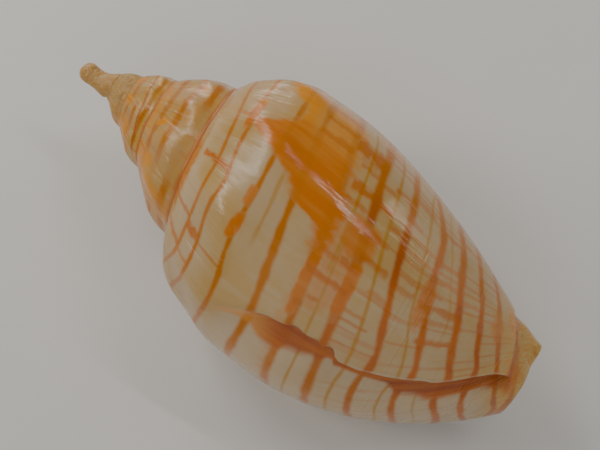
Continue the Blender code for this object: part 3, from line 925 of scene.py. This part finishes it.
def growth_line_group():
    """Fine lines left by the growing edge, which follow the sinuous shape of the lip."""
    tree, (turn, across), result = new_group("growth_lines", ["Turn", "Across"],
                                             ["Growth", "Fine", "Coarse"])
    growth = curve_of(across, LIP_BEND) * 0.4 + turn
    feed(result["Growth"], growth)
    feed(result["Fine"], cloud(pair(growth * 420.0, across * 9.0), 1.0, 3.0))
    feed(result["Coarse"], cloud(pair(growth * 60.0, across * 2.5), 1.0, 2.0))
    return tree


def new_material(name):
    """Material, its node tree and its principled shader's inputs."""
    material = bpy.data.materials.new(name)
    material.use_nodes = True
    tree = material.node_tree
    return material, tree, tree.nodes["Principled BSDF"].inputs


def shell_inputs(tree):
    """Turn and place across, from the surface's own map."""
    turn, across, _ = split(made(tree, "UVMap", {}, uv_map="growth"))
    return turn, across


def along_route(turn):
    """How far along the routes a turn lies, from 0 to 1."""
    return (1.0 - turn / ROUTE_START).clamped()


def route(along, places):
    """Place across the wall that runs through a few places (turn, across)."""
    return curve_of(along, [(1.0 - turn / ROUTE_START, across) for turn, across in places])


def draw_lines(line, turn, across):
    """The net's thick lines, its thin ones, and how many thick ones lie above a place."""
    along = along_route(turn)
    wider = ease(turn, -0.8, -1.1, 1.0, 3.0)
    thick = 0.0
    thin = 0.0
    bands = 0.0
    for number, (width, strength, places) in enumerate(NET_LINES):
        drawn = use_group(line, Turn=after(turn, thick), Across=across,
                          Route=route(along, places), Width=wider * width,
                          Seed=7.3 * number + 1.9)
        thick = larger(drawn["Line"] * strength, thick)
        bands = drawn["Past"] + bands
    for number, (width, strength, (start, stop), places) in enumerate(THIN_LINES):
        drawn = use_group(line, Turn=after(turn, thin), Across=across,
                          Route=route(along, places), Width=width, Seed=5.1 * number + 60.3)
        seen = ease(turn, start, start + 0.03) * ease(turn, stop - 0.03, stop, strength, 0.0)
        thin = larger(drawn["Line"] * seen, thin)
    return thick, thin * ease(turn, -0.95, -1.05, 1.0, 0.35), bands


def draw_bars(bar, growth, across, uneven):
    """The bars that join the lines of the net on the back of the last whorl."""
    bars = 0.0
    for at, start, stop, half, strength in BARS:
        drawn = use_group(bar, Growth=after(growth, bars), Across=across, At=at, From=start,
                          To=stop, Half=half, Uneven=uneven)
        bars = larger(drawn["Bar"] * strength, bars)
    return bars


def far_bars(growth, across, bands, turn):
    """Bars drawn by chance, each between two lines: thick ones where the net turns out of
    sight, and fine, close ones on the lower half."""
    shift = wander(bands * 5.37, 3.0) * 9.0
    hidden = ease(turn, -0.46, -0.52) * ease(turn, -0.95, -1.05, 1.0, 0.35)
    lower = ease(across, 0.52, 0.58) * ease(turn, -0.20, -0.27, 0.35, 1.0)
    result = 0.0
    for where, count, chance, half, strength, seed in ((hidden, 17.0, 0.42, 0.05, 0.75, 3.1),
                                                       (lower, 64.0, 0.48, 0.12, 0.42, 8.7)):
        walk = growth * count + shift
        drawn = made(growth.tree, "TexWhiteNoise",
                     {"Vector": pair(walk.math("FLOOR"), bands + seed)}, "Color",
                     noise_dimensions="2D")
        draw, middle, width = split(drawn)
        distance = abs(walk.math("FRACT") - (middle * 0.4 + 0.3))
        width = width * half + 0.4 * half
        bar = ease(distance, width, width + 0.07, 1.0, 0.0) * draw.math("LESS_THAN", chance)
        result = larger(bar * strength * where, result)
    return result


def draw_patches(patch, turn, across, ragged):
    """The orange flames and blotches."""
    along = along_route(turn)
    uneven = ragged * 0.06 + across - 0.03
    flames = (ease(uneven - route(along, FLAME_TOP), -FLAME_EDGE, FLAME_EDGE)
              * ease(route(along, FLAME_FOOT) - uneven, -FLAME_EDGE, FLAME_EDGE)
              * ease(turn, -0.56, -0.52))
    for middle, level, reach, depth, slant, strength in PATCHES:
        drawn = use_group(patch, Turn=after(turn, flames), Across=across, Middle=middle,
                          Level=level, Reach=reach, Depth=depth, Slant=slant, Ragged=ragged)
        flames = larger(drawn["Patch"] * strength, flames)
    return flames


def break_marks(turn, across, streaky):
    """Orange band below the healed break, partly painted shade in its hollow; the painted
    shadow line under its edge; the painted highlight on its rim; and the newer wall."""
    low, high = -0.4, -0.1
    edge = curve_of(across, [(at, (to - low) / (high - low)) for at, to in BREAK_EDGE])
    past = turn - (edge * (high - low) + low)
    width = curve_of(across, [(at, 10.0 * to) for at, to in BAND_WIDTH])
    width = width * (streaky * 0.04 + 0.08)
    ends = ease(across, 0.27, 0.33) * ease(across, 0.95, 0.90)
    newer = ease(past, -0.0015, 0.0015)
    band = newer * ease(past / width, 0.80, 1.12, 1.0, 0.0)
    # Painted shadow: dark line under the overhanging broken edge
    edge_shadow = newer * ease(past, 0.001, 0.0035, 1.0, 0.0) * ease(across, 0.36, 0.48)
    # Painted highlight: pale line along the broken edge
    rim = ease(past, -0.0055, -0.003) * ease(past, -0.001, 0.0, 1.0, 0.0)
    rim = rim * ease(across, 0.58, 0.66)
    return [mask * ends for mask in (band, edge_shadow, rim, newer)]


def suture_marks(turn, across):
    """Orange-brown line that follows the seam between two whorls, on both sides of it."""
    spread = wander(turn, 14.0, 2.0) * 0.006 + 0.012
    below = ease(across, 0.0, spread, 1.0, 0.0)
    above = ease(across, SUTURE_ACROSS - spread * 2.0, SUTURE_ACROSS)
    return larger(below, above * ease(turn, -0.98, -1.02))


def relief(tree, shader, height, distance):
    """Fine relief as a low bump."""
    bump = made(tree, "Bump", {"Strength": 1.0, "Distance": distance, "Height": height})
    feed(shader["Normal"], bump)


def ground_colour(turn, across, cloudy, streaky, ragged, newer):
    """Cream between the lines, tan and amber on the spire, tan painted shade on the older upper
    body, yellow on the canal strip; and the brown line beside that strip."""
    ground = tint(ease(cloudy, 0.35, 0.65), CREAM, WARM_CREAM)
    ground = tint(ease(turn, -0.8, -1.3, 0.0, 0.2), ground, TAN)
    ground = tint(ease(streaky, 0.5, 0.75, 0.0, 0.35), ground, PALE_CREAM)
    # Painted shade: tan darkening high on the body, on its older side
    painted_shade = ease(turn, -0.30, -0.40) * ease(across, 0.55, 0.40)
    ground = tint(painted_shade * 0.35, ground, TAN)
    ground = tint(newer * 0.6, ground, PALE_CREAM)
    amber = cloud(pair(turn * 16.0, across * 9.0), 1.0, 2.0)
    amber = ease(amber, 0.35, 0.70, 0.0, 0.5) * ease(turn, -0.9, -1.1)
    ground = tint(amber, ground, AMBER)
    strip = turn * -FASCIOLE_DRIFT + across - FASCIOLE_ACROSS
    crease = ease(strip, 0.116, 0.126) * ease(strip, 0.134, 0.150, 1.0, 0.0)
    crease = crease * ease(turn, -0.22, -0.30)
    stained = tint(ease(ragged, 0.45, 0.60, 0.0, 0.9), STRIP_YELLOW, AMBER)
    return tint(ease(strip, 0.02, 0.14), ground, stained), crease


def add_flames(ground, flames, turn, streaky):
    """The flames over the ground, deeper orange towards the lip."""
    deep = ease(turn, -0.46, -0.36) * 0.6 + streaky
    flame = tint(ease(deep, 0.45, 1.15), FLAME, DEEP_FLAME)
    return tint(flames * ease(streaky, 0.2, 0.6, 0.85, 1.0), ground, flame)


def line_colours(turn, across, cloudy, newer):
    """Colour of the seam, and of the net's thick lines, which are golden in places."""
    dark = tint(ease(cloudy, 0.42, 0.62), ORANGE_LINE, BROWN_LINE)
    golden = larger(ease(across, 0.62, 0.36, 0.0, 0.85), ease(turn, -0.33, -0.43, 0.0, 0.9))
    golden = larger(golden, newer * ease(across, 0.85, 0.55, 0.0, 0.7))
    return dark, tint(golden, dark, GOLD_LINE)


def add_break(colour, across, streaky, band, edge_shadow, rim):
    """The healed break's orange band with painted shade, its painted shadow line and its painted
    highlight rim over a colour.
    """
    hollow = tint(ease(streaky, 0.35, 0.65), SHADED_BAND_BROWN, ORANGE_LINE)
    hollow = tint(ease(across, 0.46, 0.36), hollow, FLAME)
    # The band's brown is partly painted shade in the hollow
    colour = tint(band * ease(across, 0.30, 0.46, 0.5, 0.96), colour, hollow)
    # Painted shadow under the broken edge, then painted highlight on its rim
    colour = tint(edge_shadow * 0.6, colour, SHADOW_BROWN)
    return tint(rim * 0.35, colour, RIM_HIGHLIGHT)


def wall_roughness(turn, across, streaky, first, seam):
    """Glossy wall, satin above the shoulder, dull on the first whorls and along the seam."""
    gloss = streaky * 0.08 + 0.02
    satin = ease(across, 0.30, 0.24) * ease(turn, -1.1, -0.9, 0.4, 1.0)
    return satin * 0.14 + gloss + first * 0.3 + seam * 0.4


def wall_height(across, streaky, growth, beads):
    """Fine relief: growth lines, threads round the base, and beads on the first whorls."""
    smooth_belt = ease(across, 0.24, 0.32) * ease(across, 0.66, 0.52)
    threads = wander(across, 190.0, 2.0) * ease(across, 0.52, 0.70, 0.0, 0.9)
    fine = growth["Fine"] * ease(streaky, 0.35, 0.65, 0.4, 1.5)
    height = (growth["Coarse"] * 2.0 + fine + threads) * (smooth_belt * -0.65 + 1.0)
    return beads * 4.0 + height


def patterned_wall(lines, line, patch, bar):
    """Glazed outer wall: an orange net on cream, with the marks of growth.

    The renderer holds only so many unfinished values of one material, in the order in which
    the nodes are made, so each value is made close to its use.
    """
    material, tree, shader = new_material("netted_glaze")
    turn, across = shell_inputs(tree)
    growth = use_group(lines, Turn=turn, Across=across)
    stage_of_growth = growth["Growth"]
    even = pair(turn * 6.0, across * 3.0)
    cloudy = cloud(even, 2.0, 3.0)
    streaky = cloud(pair(stage_of_growth * 90.0, across * 4.0), 1.0, 3.0)
    ragged = cloud(pair(stage_of_growth * 110.0, across * 26.0), 1.0, 4.0)
    thick, thin, bands = draw_lines(line, turn, across)
    bars = draw_bars(bar, stage_of_growth, across, cloud(even, 14.0, 1.0))
    bars = larger(bars, far_bars(stage_of_growth, across, bands, turn))
    flames = draw_patches(patch, turn, across, ragged)
    band, edge_shadow, rim, newer = break_marks(turn, across, streaky)

    colour, crease = ground_colour(turn, across, cloudy, streaky, ragged, newer)
    fainter = ease(turn, -0.385, -0.43) * ease(across, 0.29, 0.35)
    flames = flames * (1.0 - fainter * ease(cloudy, 0.40, 0.60, 0.25, 0.75))
    bare = flames * -0.75 + 1.0
    colour = add_flames(colour, flames, turn, streaky)
    colour = tint(thin * bare, colour, YELLOW_LINE)
    colour = tint(bars * ease(cloudy, 0.3, 0.6, 0.8, 1.0), colour, ORANGE_LINE)
    seam_colour, net_colour = line_colours(turn, across, cloudy, newer)
    colour = tint(thick * bare, colour, net_colour)
    seam = suture_marks(turn, across)
    colour = tint(seam * 0.9, colour, seam_colour)
    # Painted shadow: dark line in the corner of the suture
    colour = tint(ease(across, 0.001, 0.006, 0.6, 0.0), colour, SHADOW_BROWN)
    colour = add_break(colour, across, streaky, band, edge_shadow, rim)
    colour = tint(crease * 0.8, colour, BROWN_LINE)
    grain = cloud(made(tree, "TexCoord", {}, "Object"), 900.0, 2.0)
    first = ease(turn, -2.7, -3.4)
    finger = tint(ease(grain, 0.4, 0.62, 0.0, 0.7), FINGER_TAN, TAN)
    colour = tint(first * 0.8, colour, finger)
    callus = ease(turn, -0.93, -0.99, 0.0, 0.8)
    callus = callus * ease(across, SUTURE_ACROSS + 0.01, SUTURE_ACROSS + 0.04)

    feed(shader["Base Color"], tint(callus, colour, PEACH))
    feed(shader["Roughness"], wall_roughness(turn, across, streaky, first, seam))
    feed(shader["IOR"], GLAZE_IOR)
    relief(tree, shader, wall_height(across, streaky, growth, grain * first), WALL_RELIEF)
    return material


def porcelain_lining(lines):
    """Smooth inside of the shell: peach deep inside, cream towards the lip."""
    material, tree, shader = new_material("peach_lining")
    turn, across = shell_inputs(tree)
    growth = use_group(lines, Turn=turn, Across=across)
    cloudy = cloud(pair(turn * 5.0, across * 3.0), 1.6, 2.0)
    base = tint(ease(cloudy, 0.3, 0.7), DEEP_PEACH, LIGHT_PEACH)
    feed(shader["Base Color"], tint(ease(turn, -0.12, 0.0), base, LIP_CREAM))
    feed(shader["Roughness"], growth["Coarse"] * 0.10 + 0.20)
    feed(shader["Coat Weight"], LINING_COAT)
    feed(shader["Coat Roughness"], LINING_COAT_ROUGHNESS)
    relief(tree, shader, growth["Coarse"] * 2.0 + growth["Fine"], LINING_RELIEF)
    return material


# Camera: what it faces, as a place on the coil, its tilt and roll, its distance, and how far
# it aims beside and below that place
CAMERA_TURN = -0.3084
CAMERA_TILT = math.radians(4.3)
CAMERA_ROLL = math.radians(36.5)
CAMERA_DISTANCE = 199.5 * MM
CAMERA_HEIGHT = 60.0 * MM
CAMERA_ASIDE = 0.006988
CAMERA_BELOW = 0.002218
LENS = 54.1
SENSOR = 36.0

# Lights: their colour, the height that they aim at, and for each how far round the coil
# axis it stands from the camera, its lean towards the apex, its distance, size and power
WARM_LIGHT = (1.0, 0.97, 0.92)
AIM_HEIGHT = 20 * MM
KEY_TURN = 0.117
KEY_DISTANCE = 0.5
KEY_FORWARD = 0.085
KEY_SIZE = (0.27, 0.006)
KEY_POWER = 0.25
SIDE_TURN = 0.205
SIDE_LEAN = math.radians(-37)
SIDE_DISTANCE = 0.5
SIDE_SIZE = (0.36, 0.03)
SIDE_POWER = 0.35
TOP_TURNS = (-0.05, 0.09, 0.24)
TOP_LEAN = math.radians(50)
TOP_DISTANCE = 0.6
TOP_SIZE = (0.26, 0.10)
TOP_POWER = 0.85

# Fill light: how many times as far as the camera it stands, how far lower, and the rest
FILL_TIMES = 1.8
FILL_LOWER = 0.5
FILL_LIGHT = (1.0, 0.98, 0.94)
FILL_SIZE = (1.3, 1.3)
FILL_POWER = 3.0

# Room: light from all round, floor
ROOM_LIGHT = (1.0, 0.98, 0.95)
ROOM_STRENGTH = 0.12
FLOOR_HALF = 3.0
FLOOR_GREY = (0.74, 0.73, 0.71)
FLOOR_LIGHT_GREY = (0.77, 0.76, 0.74)
FLOOR_ROUGHNESS = 0.8

COIL_AXIS = Vector(place(0.0, 0.0, 1.0))


def place_camera(shift):
    """Camera above the back of the shell; gives its place and its downward direction."""
    along = place(0.0, 0.0, 1.0)
    out = place(CAMERA_TURN, 1.0, 0.0)
    beside = place(CAMERA_TURN + 0.25, 1.0, 0.0)
    toward = out * math.cos(CAMERA_TILT) + along * math.sin(CAMERA_TILT)
    canal = along * math.cos(CAMERA_TILT) - out * math.sin(CAMERA_TILT)
    right = canal * math.cos(CAMERA_ROLL) - beside * math.sin(CAMERA_ROLL)
    down = canal * math.sin(CAMERA_ROLL) + beside * math.cos(CAMERA_ROLL)
    spot = place(0.0, 0.0, CAMERA_HEIGHT) + shift + CAMERA_DISTANCE * toward
    aim = -toward - right * CAMERA_ASIDE - down * CAMERA_BELOW
    back = -Vector(aim).normalized()
    side = (Vector(right) - back * Vector(right).dot(back)).normalized()
    matrix = Matrix((side, back.cross(side), back)).transposed().to_4x4()
    matrix.translation = Vector(spot)
    data = bpy.data.cameras.new("camera")
    data.lens = LENS
    data.sensor_width = SENSOR
    data.clip_start = 0.01
    camera = bpy.data.objects.new("camera", data)
    camera.matrix_world = matrix
    bpy.context.scene.collection.objects.link(camera)
    bpy.context.scene.camera = camera
    return Vector(spot), Vector(down)


def soft_light(name, spot, aim, along, size, power, colour):
    """Rectangular area light that faces a place, with its long side along a direction."""
    data = bpy.data.lights.new(name, "AREA")
    data.shape = "RECTANGLE"
    data.size = size[0]
    data.size_y = size[1]
    data.energy = power
    data.color = colour
    light = bpy.data.objects.new(name, data)
    back = (spot - aim).normalized()
    side = (along - back * along.dot(back)).normalized()
    light.matrix_world = Matrix((side, back.cross(side), back)).transposed().to_4x4()
    light.location = spot
    bpy.context.scene.collection.objects.link(light)


def toward_light(turn, lean):
    """Direction round the coil axis from the camera, leaning towards the apex."""
    around = Vector(place(CAMERA_TURN - turn, 1.0, 0.0))
    return around * math.cos(lean) - COIL_AXIS * math.sin(lean)


def add_lights(eye, down):
    """Thin key light and side light along the shell, three lights on its shoulder, a fill."""
    middle = Vector((0.0, 0.0, AIM_HEIGHT))
    forward = COIL_AXIS * KEY_FORWARD
    soft_light("key", toward_light(KEY_TURN, 0.0) * KEY_DISTANCE + forward, middle + forward,
               COIL_AXIS, KEY_SIZE, KEY_POWER, WARM_LIGHT)
    soft_light("side", toward_light(SIDE_TURN, SIDE_LEAN) * SIDE_DISTANCE, middle, COIL_AXIS,
               SIDE_SIZE, SIDE_POWER, WARM_LIGHT)
    for number, turn in enumerate(TOP_TURNS):
        soft_light(f"top_{number + 1}", toward_light(turn, TOP_LEAN) * TOP_DISTANCE, middle,
                   toward_light(turn + 0.25, 0.0), TOP_SIZE, TOP_POWER, WARM_LIGHT)
    soft_light("fill", eye * FILL_TIMES + down * FILL_LOWER, middle, COIL_AXIS, FILL_SIZE,
               FILL_POWER, FILL_LIGHT)


def add_floor():
    """Plain pale floor."""
    bm = bmesh.new()
    bmesh.ops.create_grid(bm, x_segments=1, y_segments=1, size=FLOOR_HALF)
    mesh = bpy.data.meshes.new("floor")
    bm.to_mesh(mesh)
    bm.free()
    material, tree, shader = new_material("pale_floor")
    grain = cloud(made(tree, "TexCoord", {}, "Object"), 40.0, 2.0)
    feed(shader["Base Color"], tint(grain, FLOOR_GREY, FLOOR_LIGHT_GREY))
    feed(shader["Roughness"], FLOOR_ROUGHNESS)
    mesh.materials.append(material)
    floor = bpy.data.objects.new("floor", mesh)
    bpy.context.scene.collection.objects.link(floor)


def add_world():
    """Even, dim light from all round."""
    world = bpy.data.worlds.new("studio")
    world.use_nodes = True
    background = world.node_tree.nodes["Background"]
    feed(background.inputs["Color"], ROOM_LIGHT)
    feed(background.inputs["Strength"], ROOM_STRENGTH)
    bpy.context.scene.world = world


shell, shift = make_shell()
growth_lines = growth_line_group()
shell.data.materials.append(patterned_wall(growth_lines, net_line_group(), patch_group(),
                                           bar_group()))
shell.data.materials.append(porcelain_lining(growth_lines))
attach(shell, "root")
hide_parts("shell")

add_floor()
add_world()
add_lights(*place_camera(shift))
